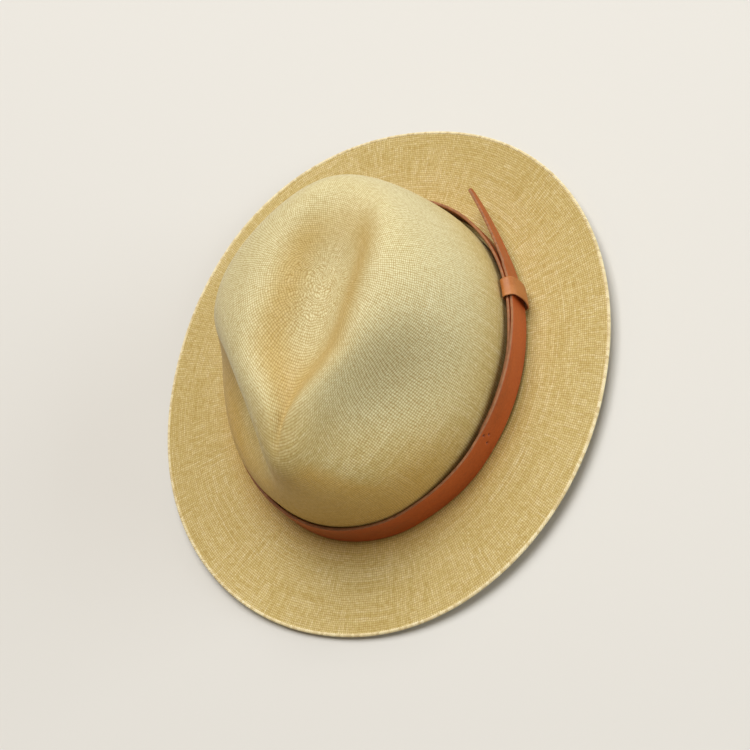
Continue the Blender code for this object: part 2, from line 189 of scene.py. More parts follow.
def dent(x, y, z):
    """Press the long crease into the top and a scoop into each side of the front."""
    moved_x, moved_y, moved_z = x, y, z - crease(x, y, z)
    for side, deepest, centre, size in SCOOPS:
        ahead = (side * math.sin(SCOOP_RUN), math.cos(SCOOP_RUN))
        out = (side * math.cos(SCOOP_RUN), -math.sin(SCOOP_RUN))
        away_x, away_y = x - centre[0], y - centre[1]
        spread = ((away_x * out[0] + away_y * out[1]) / size[0]) ** 2
        spread = spread + ((away_x * ahead[0] + away_y * ahead[1]) / size[1]) ** 2
        spread = spread + ((z - centre[2]) / size[2]) ** 2
        depth = deepest * np.exp(-spread) * smooth(z, 0.030, 0.055)
        moved_x = moved_x - out[0] * 0.9 * depth
        moved_y = moved_y - out[1] * 0.9 * depth
        moved_z = moved_z - 0.45 * depth
    return moved_x, moved_y, moved_z


def crown_surface(theta, slope):
    """Points of the finished crown's outer surface, with the last axis x, y, z."""
    x, y, z = dent(*open_crown(theta, slope))
    z = z + STRAW + (break_level(theta) - STRAW) * np.clip(1 - z / 0.060, 0, 1)
    return np.stack(np.broadcast_arrays(x, y, z), -1)


def brim_surface(theta, share):
    """Points of the brim's top surface: share 0 at the break line and 1 at the edge."""
    side, ahead = np.sin(theta), np.cos(theta)
    reach = (np.abs(side) ** BRIM_SQUARENESS + np.abs(ahead) ** BRIM_SQUARENESS) ** (-1 / BRIM_SQUARENESS)
    x = CROWN_HALF_WIDTH * side + (BRIM_HALF_WIDTH * reach - CROWN_HALF_WIDTH) * side * share
    y = -CROWN_HALF_LENGTH * ahead - (BRIM_HALF_LENGTH * reach - CROWN_HALF_LENGTH) * ahead * share
    level = EDGE_LEVEL + EDGE_SIDE_RISE * side ** 2 - EDGE_FRONT_DIP * ahead - 0.0008 * np.cos(4 * theta)
    climb = np.maximum((share - BRIM_LAND) / (1 - BRIM_LAND), 0) ** 1.3
    z = break_level(theta) + (level - break_level(theta)) * climb
    return np.stack(np.broadcast_arrays(x, y, z), -1)


def wall_point(theta, height, offset):
    """Points beside the crown's wall: height above the straw's break line, offset outward from the straw."""
    lean = blend_around(theta, SIDE_LEAN, FRONT_LEAN, BACK_LEAN)
    square = blend_around(theta, SIDE_SQUARE, FRONT_SQUARE, BACK_SQUARE)
    up = height / CROWN_HEIGHT
    radius = (1 - np.maximum(up, 0) ** square) ** (1 / square) * (1 - lean * up)
    out_x, out_y = np.sin(theta) / CROWN_HALF_WIDTH, -np.cos(theta) / CROWN_HALF_LENGTH
    size = np.hypot(out_x, out_y)
    x = CROWN_HALF_WIDTH * radius * np.sin(theta) + out_x / size * offset
    y = -CROWN_HALF_LENGTH * radius * np.cos(theta) + out_y / size * offset
    z = break_level(theta) + height
    return np.stack(np.broadcast_arrays(x, y, z), -1)


# ---------------------------------------------------------------- meshes

def mesh_object(name, points, faces, attributes=()):
    """A smooth mesh object from points and faces, with named float attributes at its points."""
    mesh = bpy.data.meshes.new(name)
    mesh.from_pydata(np.asarray(points, float).reshape(-1, 3).tolist(), [], faces)
    for label, values in attributes:
        values = np.asarray(values, np.float32)
        kind = "FLOAT_VECTOR" if values.ndim == 2 else "FLOAT"
        layer = mesh.attributes.new(label, kind, "POINT")
        layer.data.foreach_set("vector" if kind == "FLOAT_VECTOR" else "value", values.ravel())
    mesh.shade_smooth()
    obj = bpy.data.objects.new(name, mesh)
    bpy.context.scene.collection.objects.link(obj)
    return obj


def grid_faces(rows, columns, closed_rows=False, closed_columns=False):
    """Faces of a grid of points that is stored row by row."""
    faces = []
    for r in range(rows if closed_rows else rows - 1):
        for c in range(columns if closed_columns else columns - 1):
            after = (c + 1) % columns
            above = (r + 1) % rows
            faces.append((r * columns + c, r * columns + after, above * columns + after, above * columns + c))
    return faces


def recalculate(obj):
    """Turn all faces outward."""
    work = bmesh.new()
    work.from_mesh(obj.data)
    bmesh.ops.recalc_face_normals(work, faces=work.faces)
    work.to_mesh(obj.data)
    work.free()


def tube_points(path, radius, sides, closed):
    """Rings of points round a path, kept level with +Z as far as the path allows."""
    path = np.asarray(path, float)
    if closed:
        ahead = np.roll(path, -1, 0) - np.roll(path, 1, 0)
    else:
        ahead = np.gradient(path, axis=0)
    ahead /= np.linalg.norm(ahead, axis=1, keepdims=True)
    side = np.cross(ahead, (0.05, 0.02, 1))
    side /= np.linalg.norm(side, axis=1, keepdims=True)
    up = np.cross(side, ahead)
    turn = np.arange(sides) * 2 * math.pi / sides
    radius = np.broadcast_to(radius, len(path))[:, None, None]
    ring = np.cos(turn)[None, :, None] * side[:, None] + np.sin(turn)[None, :, None] * up[:, None]
    return path[:, None] + ring * radius


def tube(name, path, radius, sides=8, closed=False):
    """A round thread or cord through the points of a path."""
    points = tube_points(path, radius, sides, closed)
    faces = grid_faces(len(points), sides, closed, True)
    if not closed:
        faces.append(tuple(range(sides)))
        faces.append(tuple(range(len(points) * sides - 1, (len(points) - 1) * sides - 1, -1)))
    run = np.concatenate([[0], np.cumsum(np.linalg.norm(np.diff(path, axis=0), axis=1))])
    around = np.tile(np.arange(sides) / sides, len(points))
    obj = mesh_object(name, points, faces, [("run", np.repeat(run, sides)), ("around", around)])
    recalculate(obj)
    return obj


def join(name, pieces):
    """Join several new objects into one."""
    work = bmesh.new()
    for piece in pieces:
        work.from_mesh(piece.data)
    mesh = bpy.data.meshes.new(name)
    work.to_mesh(mesh)
    work.free()
    for piece in pieces:
        bpy.data.objects.remove(piece)
    obj = bpy.data.objects.new(name, mesh)
    bpy.context.scene.collection.objects.link(obj)
    mesh.shade_smooth()
    return obj


def place(obj, body, slot, material, *nodes):
    """Put a finished piece on its body, in place of the CAD nodes that it stands for."""
    obj.data.materials.clear()
    obj.data.materials.append(material)
    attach(obj, body)
    if nodes:
        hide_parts(*nodes)


# ---------------------------------------------------------------- materials

class Nodes:
    """Short names for the nodes of one material."""

    def __init__(self, name):
        self.material = bpy.data.materials.new(name)
        self.material.use_nodes = True
        self.tree = self.material.node_tree
        self.shader = self.tree.nodes["Principled BSDF"]

    def node(self, kind, settings=(), **inputs):
        """A node with its settings and inputs, which are values or other nodes' outputs."""
        made = self.tree.nodes.new(kind)
        for label, value in dict(settings).items():
            setattr(made, label, value)
        for label, value in inputs.items():
            self.feed(made.inputs[label.replace("_", " ")], value)
        return made

    def feed(self, socket, value):
        """Set a socket to a value, or link it to another node's output."""
        if isinstance(value, bpy.types.NodeSocket):
            self.tree.links.new(value, socket)
        else:
            socket.default_value = value

    def math(self, operation, *values, clamp=False):
        """One math node's output."""
        made = self.tree.nodes.new("ShaderNodeMath")
        made.operation = operation
        made.use_clamp = clamp
        for socket, value in zip(made.inputs, values):
            self.feed(socket, value)
        return made.outputs[0]

    def sum(self, *terms):
        """The sum of several values, each given with its weight."""
        total = None
        for value, weight in terms:
            term = self.math("MULTIPLY", value, weight)
            total = term if total is None else self.math("ADD", total, term)
        return total

    def position(self):
        """Where the surface is."""
        return self.node("ShaderNodeNewGeometry").outputs["Position"]

    def attribute(self, name, part="Fac"):
        """A mesh attribute's value."""
        return self.node("ShaderNodeAttribute", {"attribute_name": name}).outputs[part]

    def noise(self, where, scale, detail=3.0, roughness=0.6):
        """Soft noise from 0 to 1 at a place."""
        made = self.node("ShaderNodeTexNoise", Vector=where, Scale=scale, Detail=detail, Roughness=roughness)
        return made.outputs["Fac"]

    def combine(self, x, y, z):
        """A vector from three numbers."""
        return self.node("ShaderNodeCombineXYZ", X=x, Y=y, Z=z).outputs[0]

    def white(self, x, y=0.0, z=0.0):
        """A number from 0 to 1 that is the same wherever x, y and z are."""
        made = self.node("ShaderNodeTexWhiteNoise", {"noise_dimensions": "3D"}, Vector=self.combine(x, y, z))
        return made.outputs["Value"]

    def spread(self, value, low, high, to_low=0.0, to_high=1.0):
        """Map a value from one range to another, clamped."""
        made = self.tree.nodes.new("ShaderNodeMapRange")
        for socket, number in zip(made.inputs, (value, low, high, to_low, to_high)):
            self.feed(socket, number)
        return made.outputs[0]

    def ramp(self, value, *stops):
        """A colour ramp: stops are (place, (red, green, blue))."""
        made = self.tree.nodes.new("ShaderNodeValToRGB")
        self.feed(made.inputs[0], value)
        while len(made.color_ramp.elements) < len(stops):
            made.color_ramp.elements.new(0.5)
        for element, (where, colour) in zip(made.color_ramp.elements, stops):
            element.position = where
            element.color = (*colour, 1)
        return made.outputs["Color"]

    def choose(self, share, first, second):
        """Two numbers mixed."""
        made = self.node("ShaderNodeMix", {"data_type": "FLOAT"})
        for socket, value in ((0, share), (2, first), (3, second)):
            self.feed(made.inputs[socket], value)
        return made.outputs[0]

    def mix(self, share, first, second):
        """Two colours mixed."""
        made = self.tree.nodes.new("ShaderNodeMix")
        made.data_type = "RGBA"
        sockets = {s.identifier: s for s in made.inputs}
        for label, value in (("Factor_Float", share), ("A_Color", first), ("B_Color", second)):
            if isinstance(value, tuple) and len(value) == 3:
                value = (*value, 1)
            self.feed(sockets[label], value)
        return next(s for s in made.outputs if s.identifier == "Result_Color")

    def bump(self, height, strength, distance, below=None):
        """A bump node on a height, on top of another one."""
        made = self.node("ShaderNodeBump", Height=height, Strength=strength, Distance=distance)
        if below is not None:
            self.feed(made.inputs["Normal"], below)
        return made.outputs["Normal"]

    def finish(self, colour, roughness, normal=None, **fixed):
        """Wire the shader. Fixed values go straight on its sockets."""
        self.feed(self.shader.inputs["Base Color"], colour)
        self.feed(self.shader.inputs["Roughness"], roughness)
        if normal is not None:
            self.feed(self.shader.inputs["Normal"], normal)
        for label, value in fixed.items():
            self.shader.inputs[label.replace("_", " ")].default_value = value
        return self.material


def arch(n, across, along):
    """Height of a strand: round across its width, and highest halfway along, where it crosses another."""
    rise = n.math("ADD", 0.55, n.math("MULTIPLY", along, 0.45))
    return n.math("MULTIPLY", n.math("POWER", across, 0.45), rise)


def straw_material(name):
    """Plaited toquilla straw: radial strands crossed by round ones, their tones uneven, in rings of rows."""
    n = Nodes(name)
    where = n.position()
    turn = n.attribute("turn", "Vector")
    parts = n.node("ShaderNodeSeparateXYZ", Vector=turn)
    theta = n.math("ARCTAN2", parts.outputs["X"], n.math("MULTIPLY", parts.outputs["Y"], -1.0))
    turns = n.math("DIVIDE", theta, 2 * math.pi)
    reach = n.attribute("reach")
    run = n.attribute("run")

    # Rows where strands are added: the count of radial strands is fixed between them
    row_zone = n.math("FLOOR", n.math("DIVIDE", reach, ROW_ZONE))
    zone_reach = n.math("MULTIPLY", n.math("ADD", row_zone, 0.5), ROW_ZONE)
    count = n.math("ROUND", n.math("MULTIPLY", zone_reach, 2 * math.pi / STRAND))
    sway = n.math("MULTIPLY", n.math("SUBTRACT", n.noise(where, 42.0, 3.0, 0.7), 0.5), 2.2)
    start = n.math("SUBTRACT", n.noise(where, 190.0, 2.0), 0.5)
    sway = n.math("ADD", sway, n.math("MULTIPLY", start, n.spread(run, 0.012, 0.036, 4.0, 0.6)))
    u = n.math("ADD", n.math("MULTIPLY", turns, count), sway)
    v = n.math("ADD", n.math("DIVIDE", run, STRAND), n.math("MULTIPLY", sway, 0.8))
    u_cell, v_cell = n.math("FLOOR", u), n.math("FLOOR", v)
    u_in, v_in = n.math("FRACT", u), n.math("FRACT", v)
    over = n.math("PINGPONG", n.math("ADD", u_cell, v_cell), 1.0)

    # Cross-section of the strand on top, and its arch over the one below
    round_u = n.math("SINE", n.math("MULTIPLY", u_in, math.pi))
    round_v = n.math("SINE", n.math("MULTIPLY", v_in, math.pi))
    height = n.choose(over, arch(n, round_u, round_v), arch(n, round_v, round_u))

    # Tone of each strand, and patches where one direction of strands shows more
    radial_tone = n.white(u_cell, row_zone, 3.0)
    ring_tone = n.white(v_cell, n.math("FLOOR", n.math("MULTIPLY", turns, 21.0)), 7.0)
    patch = n.spread(n.noise(where, 30.0, 1.0), 0.42, 0.58)
    strands = n.sum((n.choose(patch, radial_tone, ring_tone), 0.56), (n.white(u_cell, v_cell, 11.0), 0.44))
    fine = n.noise(where, 420.0, 4.0, 0.7)
    broad = n.noise(where, 22.0, 3.0)
    band = n.noise(n.combine(n.math("MULTIPLY", reach, 150.0), 0.0, 0.0), 1.0, 2.0)
    tone = n.sum((strands, 0.37), (fine, 0.42), (broad, 0.14), (band, 0.14))
    colour = n.ramp(tone, *STRAW_TONES)
    # Painted highlight: paler straw higher up the lit crown
    colour = n.mix(n.math("MULTIPLY", n.attribute("pale"), 0.56), colour, STRAW_PAINTED_HIGHLIGHT)
    # Painted warm shade: golden straw where the crown is turned from the light
    colour = n.mix(n.math("MULTIPLY", n.attribute("painted_warm_shade"), 0.68), colour, STRAW_WARM_SHADE)
    # Painted shade in the gaps between strands, plus fine random dark specks of the same colour
    crossing = n.math("MULTIPLY", round_u, round_v)
    dark_specks = n.spread(n.noise(where, 620.0, 2.0, 0.6), 0.36, 0.60, 0.22, 0.0)
    shade = n.math("ADD", n.spread(crossing, 0.0, 0.75, 0.66, 0.0), dark_specks, clamp=True)
    colour = n.mix(shade, colour, STRAW_GAP_SHADE)
    normal = n.bump(height, 0.42, 0.00028)
    normal = n.bump(fine, 0.25, 0.00012, normal)
    rough = n.spread(tone, 0.3, 0.8, 0.62, 0.46)
    return n.finish(colour, rough, normal, Sheen_Weight=0.04, Sheen_Roughness=0.5, Specular_IOR_Level=0.22)


def leather_material(name, dark, middle, light, cut, grain=1500.0, rough=(0.38, 0.58)):
    """Vegetable-tanned leather: a tight grain, pulled-up tones, burnished faces and paler cut edges."""
    n = Nodes(name)
    where = n.position()
    run, across, edge = n.attribute("run"), n.attribute("across"), n.attribute("edge")
    flow = n.combine(n.math("MULTIPLY", run, 18.0), n.math("MULTIPLY", across, 60.0), 0.0)
    cloud = n.noise(flow, 1.0, 4.0, 0.6)
    pore = n.node("ShaderNodeTexVoronoi", Vector=where, Scale=grain, Randomness=1.0).outputs["Distance"]
    threads = n.combine(n.math("MULTIPLY", run, 300.0), n.math("MULTIPLY", across, 2600.0), 0.0)
    fibre = n.noise(threads, 1.0, 3.0)
    tone = n.sum((cloud, 0.62), (n.noise(where, 700.0, 4.0, 0.7), 0.38))
    colour = n.ramp(tone, (0.30, dark), (0.50, middle), (0.72, light))
    scuff = n.spread(n.noise(flow, 3.1, 5.0, 0.75), 0.60, 0.78, 0.0, 0.5)
    colour = n.mix(scuff, colour, light)
    cut_colour = n.mix(n.spread(fibre, 0.35, 0.65), tuple(0.62 * c for c in cut), cut)
    colour = n.mix(n.spread(edge, 0.35, 0.75), colour, cut_colour)
    # Painted shade in the awl holes and the back joint
    colour = n.mix(n.spread(n.attribute("hole"), 0.25, 0.7), colour, HOLE_SHADE)
    normal = n.bump(pore, 0.28, 0.00010)
    normal = n.bump(n.noise(where, 260.0, 3.0), 0.22, 0.00030, normal)
    normal = n.bump(n.math("MULTIPLY", fibre, edge), 0.5, 0.00015, normal)
    roughness = n.math("ADD", n.spread(cloud, 0.3, 0.7, *rough), n.math("MULTIPLY", edge, 0.22))
    return n.finish(colour, roughness, normal, Specular_IOR_Level=0.45, Coat_Weight=0.06, Coat_Roughness=0.35)


def thread_material(name, dark, light):
    """Waxed twisted thread."""
    n = Nodes(name)
    run, around = n.attribute("run"), n.attribute("around")
    where = n.position()
    twist = n.math("SINE", n.sum((run, 9000.0), (around, 4 * math.pi)))
    tone = n.math("ADD", n.math("MULTIPLY", twist, 0.25), n.noise(where, 1800.0, 3.0))
    colour = n.ramp(tone, (0.25, dark), (0.8, light))
    normal = n.bump(twist, 0.6, 0.00008)
    return n.finish(colour, n.spread(tone, 0.2, 0.9, 0.72, 0.52), normal, Sheen_Weight=0.2)


def tape_material(name, dark, light, ribs=0.0006):
    """Ribbed woven tape or ribbon."""
    n = Nodes(name)
    run, across = n.attribute("run"), n.attribute("across")
    where = n.position()
    rib = n.math("SINE", n.math("MULTIPLY", run, 2 * math.pi / ribs))
    warp = n.math("SINE", n.math("MULTIPLY", across, 2 * math.pi / (ribs * 0.6)))
    weave = n.math("MULTIPLY", rib, n.math("ADD", 0.7, n.math("MULTIPLY", warp, 0.3)))
    tone = n.math("ADD", n.math("MULTIPLY", weave, 0.22), n.noise(where, 500.0, 4.0))
    colour = n.ramp(tone, (0.3, dark), (0.75, light))
    normal = n.bump(weave, 0.5, 0.00012)
    return n.finish(colour, n.spread(tone, 0.2, 0.9, 0.75, 0.5), normal, Sheen_Weight=0.25, Sheen_Roughness=0.4)


def reed_material(name):
    """Moulded plastic cord with a faint drawn grain."""
    n = Nodes(name)
    run, around = n.attribute("run"), n.attribute("around")
    streak = n.noise(n.combine(n.math("MULTIPLY", run, 12.0), n.math("MULTIPLY", around, 9.0), 0.0), 1.0, 4.0)
    colour = n.ramp(streak, (0.3, (0.20, 0.13, 0.075)), (0.7, (0.34, 0.235, 0.145)))
    normal = n.bump(streak, 0.15, 0.0002)
    return n.finish(colour, n.spread(streak, 0.3, 0.7, 0.30, 0.45), normal, Specular_IOR_Level=0.5)


# ---------------------------------------------------------------- the straw body

def straw_grid():
    """Points of the straw's outer surface from the start of the weave to the brim's edge."""
    theta = np.arange(COLUMNS) * 2 * math.pi / COLUMNS
    fine = np.linspace(math.pi / 2, 0, 1200)[:, None]
    sample = crown_surface(theta[None, ::24], fine)
    length = np.linalg.norm(np.diff(sample, axis=0), axis=2).mean(1)
    run = np.concatenate([[0], np.cumsum(length)])
    slopes = np.interp(np.linspace(0, run[-1], CROWN_RINGS), run, fine[:, 0])[1:, None]
    crown = crown_surface(theta[None], slopes)
    shares = np.linspace(0, 1, BRIM_RINGS)[1:, None]
    brim = brim_surface(theta[None], shares)
    return theta, np.concatenate([crown, brim])


def straw_tones(grid):
    """Where painted light goes on the straw: a paler painted highlight on the crown's upper swells, and a
    golden painted warm shade in its folds, on its walls turned from the light and on the brim by its front.
    """
    x, y, z = np.moveaxis(grid, -1, 0)
    pressed = np.clip(crease(x, y, z + 0.010) / CREASE_DEPTH, 0, 1)
    inside = np.hypot(x / CROWN_HALF_WIDTH, y / CROWN_HALF_LENGTH) < 1.01
    # Painted warm shade in the crease and on its walls, low on the front, under the tip and on the far side
    # wall
    walls = 4 * pressed * (1 - pressed) * smooth(y, 0.080, 0.030)
    low_front = smooth(-y, 0.035, 0.085) * smooth(z, 0.064, 0.040)
    below_tip = smooth(-y, 0.084, 0.093) * smooth(z, 0.096, 0.080)
    far_wall = smooth(-x, 0.045, 0.065) * smooth(-y, -0.030, 0.015)
    far_side = far_wall * smooth(z, 0.098, 0.075) * smooth(z, 0.015, 0.030)
    golden = 0.52 * walls ** 2 + 0.10 * pressed + low_front + below_tip + 0.8 * far_side
    painted_warm_shade = np.clip(golden, 0, 1) * inside
    # Painted highlight: paler higher up the crown, kept off the painted warm shade and faded towards the front
    pale = smooth(z, 0.030, 0.075) * (1 - painted_warm_shade) * inside * (1 - 0.8 * smooth(-y, 0.045, 0.085))
    # Painted warm shade also on the brim round the front of the crown
    apart = np.hypot(x / (CROWN_HALF_WIDTH + 0.022), y / (CROWN_HALF_LENGTH + 0.022))
    painted_warm_shade = painted_warm_shade + (1 - inside) * 0.75 * smooth(apart, 1.0, 0.82) * smooth(-y, -0.02, 0.07)
    return pale, painted_warm_shade


def make_straw(material):
    """Crown and brim as one woven sheet of straw, with a pole where the weave starts."""
    theta, grid = straw_grid()
    pole = crown_surface(np.array(0.0), np.array(math.pi / 2))
    rows = len(grid)
    step = np.linalg.norm(np.diff(grid, axis=0), axis=2).mean(1)
    run = np.concatenate([[0], np.cumsum(step)]) + np.linalg.norm(grid[0] - pole, axis=1).mean()
    girth = np.linalg.norm(np.roll(grid, -1, 1) - grid, axis=2).sum(1)
    reach = girth / (2 * math.pi)
    flat = np.stack([np.sin(theta), -np.cos(theta), 0 * theta], -1)
    turn = np.broadcast_to(flat, grid.shape) * run[:, None, None]
    pale, painted_warm_shade = straw_tones(grid)
    points = np.concatenate([grid.reshape(-1, 3), pole[None]])
    faces = grid_faces(rows, COLUMNS, False, True)
    faces += [(rows * COLUMNS, (c + 1) % COLUMNS, c) for c in range(COLUMNS)]
    obj = mesh_object("straw_weave", points, faces, [
        ("turn", np.concatenate([turn.reshape(-1, 3), [[0, 0, 0]]])),
        ("run", np.append(np.repeat(run, COLUMNS), 0)),
        ("reach", np.append(np.repeat(reach, COLUMNS), 0)),
        ("pale", np.append(pale.ravel(), pale[0].mean())),
        ("painted_warm_shade", np.append(painted_warm_shade.ravel(), painted_warm_shade[0].mean())),
    ])
    if obj.data.polygons[(rows - 2) * COLUMNS].normal.z < 0:
        obj.data.flip_normals()
    shell = obj.modifiers.new("Thickness", "SOLIDIFY")
    shell.thickness = STRAW
    shell.offset = -1
    shell.use_even_offset = True
    depsgraph = bpy.context.evaluated_depsgraph_get()
    solid = bpy.data.meshes.new_from_object(obj.evaluated_get(depsgraph))
    obj.modifiers.clear()
    obj.data = solid
    place(obj, "hat", "straw", material, "straw_body")


# ---------------------------------------------------------------- the leather hatband

def lap_share(degrees):
    """1 where the strap is doubled, 0 where it is single."""
    turn = (degrees + 180) % 360 - 180
    return smooth(turn, LAP_START - 4, LAP_START + 17) * (1 - smooth(turn, LAP_END + 4, LAP_END + 50))


def inner_layer(degrees):
    """Middle of the strap's first layer, outward from the straw."""
    single = STRAP_GAP + STRAP_THICK / 2 + STRAP_LOOSE * smooth(-np.cos(np.radians(degrees)), 0.64, 0.95)
    doubled = KEEPER_WALL + 2 * SLIDE_GAP + STRAP_THICK / 2
    return single + (doubled - single) * lap_share(degrees)


def outer_layer(degrees):
    """Middle of the strap's second layer, which rises off the first one as the lap begins."""
    second = smooth(degrees, LAP_START + 326, LAP_START + 353)
    return inner_layer(degrees) + (STRAP_THICK + LAYER_GAP) * second


def strap_bottom(degrees):
    """Height of the strap's lower edge above the straw's break line."""
    return STRAP_FOOT + STRAP_LIFT * lap_share(degrees)


def strap_section():
    """Closed outline of the strap's cut: shares of its thickness and width, and how far round its edge."""
    face = np.linspace(0, 1, FACE_ROWS)
    inset = EDGE_ROUND / STRAP_WIDTH
    turn = np.radians(np.arange(0, 181, 18))
    out = [(0.5, inset + h * (1 - 2 * inset), 0.0) for h in face]
    top = [(0.5 * math.cos(t), 1 - inset + inset * math.sin(t), math.sin(t)) for t in turn]
    back = [(-0.5, 1 - inset - h * (1 - 2 * inset), 0.8) for h in np.linspace(0, 1, BACK_ROWS)]
    foot = [(-0.5 * math.cos(t), inset - inset * math.sin(t), math.sin(t)) for t in turn]
    return np.array(out + top[1:-1] + back + foot[1:-1])


def tail_path(steps):
    """Where the free tail runs: its points on the ground plane and the way it faces."""
    leave = wall_point(math.radians(LAP_LAST), 0, outer_layer(LAP_LAST))
    before = wall_point(math.radians(LAP_LAST - 1), 0, outer_layer(LAP_LAST - 1))
    heading = math.atan2(leave[1] - before[1], leave[0] - before[0])
    turns = heading + TAIL_TURN * steps
    ahead = np.stack([np.cos(turns), np.sin(turns)], 1)
    middle = 0.5 * (ahead[1:] + ahead[:-1]) * np.diff(steps)[:, None] * TAIL_LENGTH
    path = leave[:2] + np.concatenate([[[0, 0]], np.cumsum(middle, 0)])
    return path, np.stack([np.sin(turns), -np.cos(turns)], 1)


def make_strap(material):
    """One strip of leather that laps over its own start, with awl holes and a free, tapered tail."""
    section = strap_section()
    share, rise, edge = section.T
    coarse = np.arange(LAP_START, LAP_LAST, 1.4)
    holes = HOLES_MIDDLE + 360
    near = np.arange(holes - HOLES_SPAN, holes + HOLES_SPAN, 0.16)
    apart = coarse[np.abs(coarse - holes) > HOLES_SPAN + 0.2]
    degrees = np.unique(np.concatenate([apart, near, [LAP_LAST]]))
    ripple = 0.00012 * np.sin(np.radians(degrees) * 9) + 0.00008 * np.sin(np.radians(degrees) * 23 + 1)
    theta = np.radians(degrees)[:, None]
    width = STRAP_WIDTH + ripple - LAP_NARROW * (1 - smooth(degrees, 90, 104))
    height = strap_bottom(degrees)[:, None] + rise * width[:, None]
    offset = outer_layer(degrees)[:, None] + share * STRAP_THICK
    reach = np.hypot(CROWN_HALF_WIDTH * np.cos(theta), CROWN_HALF_LENGTH * np.sin(theta))
    hole = np.zeros(height.shape)
    for turn, up in TACK_HOLES:
        apart = np.hypot((degrees[:, None] - 360 - turn) * math.pi / 180 * reach, height - up)
        hole = np.maximum(hole, np.exp(-(apart / HOLE_RADIUS) ** 2) * (share > 0.3))
    wrapped = wall_point(theta, height, offset - 0.9 * STRAP_THICK * hole)
    run = np.concatenate([[0], np.cumsum(np.linalg.norm(np.diff(wrapped[:, 0], axis=0), axis=1))])

    steps = np.concatenate([np.linspace(0, 0.95, 34), np.linspace(0.96, 1, 9)])
    path, side = tail_path(steps)
    tip = TAIL_TIP_WIDTH / 2 / TAIL_LENGTH
    rounding = np.sqrt(np.clip(1 - (np.maximum(steps - 1 + tip, 0) / tip) ** 2, 0.01, 1))
    half = 0.5 * (STRAP_WIDTH + (TAIL_TIP_WIDTH - STRAP_WIDTH) * steps ** TAIL_TAPER) * rounding
    lean = SIDE_LEAN * CROWN_HALF_WIDTH / CROWN_HEIGHT
    middle = strap_bottom(LAP_LAST) + STRAP_WIDTH / 2
    up = half[:, None] * (2 * rise - 1)
    inward = lean * (middle + up) + TAIL_TWIST * up * steps[:, None] - share * STRAP_THICK
    tail = np.empty((len(steps), len(section), 3))
    tail[:, :, :2] = path[:, None] - side[:, None] * inward[:, :, None]
    tail[:, :, 2] = break_level(math.radians(LAP_LAST)) + middle + up

    points = np.concatenate([wrapped, tail[1:]])
    runs = np.concatenate([run, run[-1] + steps[1:] * TAIL_LENGTH])
    rows, columns = points.shape[:2]
    faces = grid_faces(rows, columns, False, True)
    faces.append(tuple(range(columns)))
    faces.append(tuple(range(rows * columns - 1, (rows - 1) * columns - 1, -1)))
    across = np.concatenate([np.tile(rise * STRAP_WIDTH, (len(degrees), 1)), (up + STRAP_WIDTH / 2)[1:]])
    obj = mesh_object("hatband_leather", points, faces, [
        ("run", np.repeat(runs, columns)), ("across", across.ravel()),
        ("edge", np.tile(edge, rows)),
        ("hole", np.concatenate([hole.ravel(), np.zeros((len(steps) - 1) * columns)])),
    ])
    recalculate(obj)
    place(obj, "hatband", "strap_leather", material, "hatband_strap")


def rounded_loop(near, far, low, high, corner, steps):
    """A rounded rectangle's points and outward directions, in (outward, up)."""
    points, normals = [], []
    centres = ((far - corner, high - corner), (near + corner, high - corner),
               (near + corner, low + corner), (far - corner, low + corner))
    for quarter, (x, y) in enumerate(centres):
        for turn in np.linspace(0, 90, steps):
            way = math.radians(90 * quarter + turn)
            points.append((x + corner * math.cos(way), y + corner * math.sin(way)))
            normals.append((math.cos(way), math.sin(way)))
    return np.array(points), np.array(normals)


def flattened(wave):
    """A wave from -1 to 1 that stays longer near its ends, so a ring becomes a rounded box."""
    return np.sign(wave) * np.abs(wave) ** KEEPER_SQUARENESS


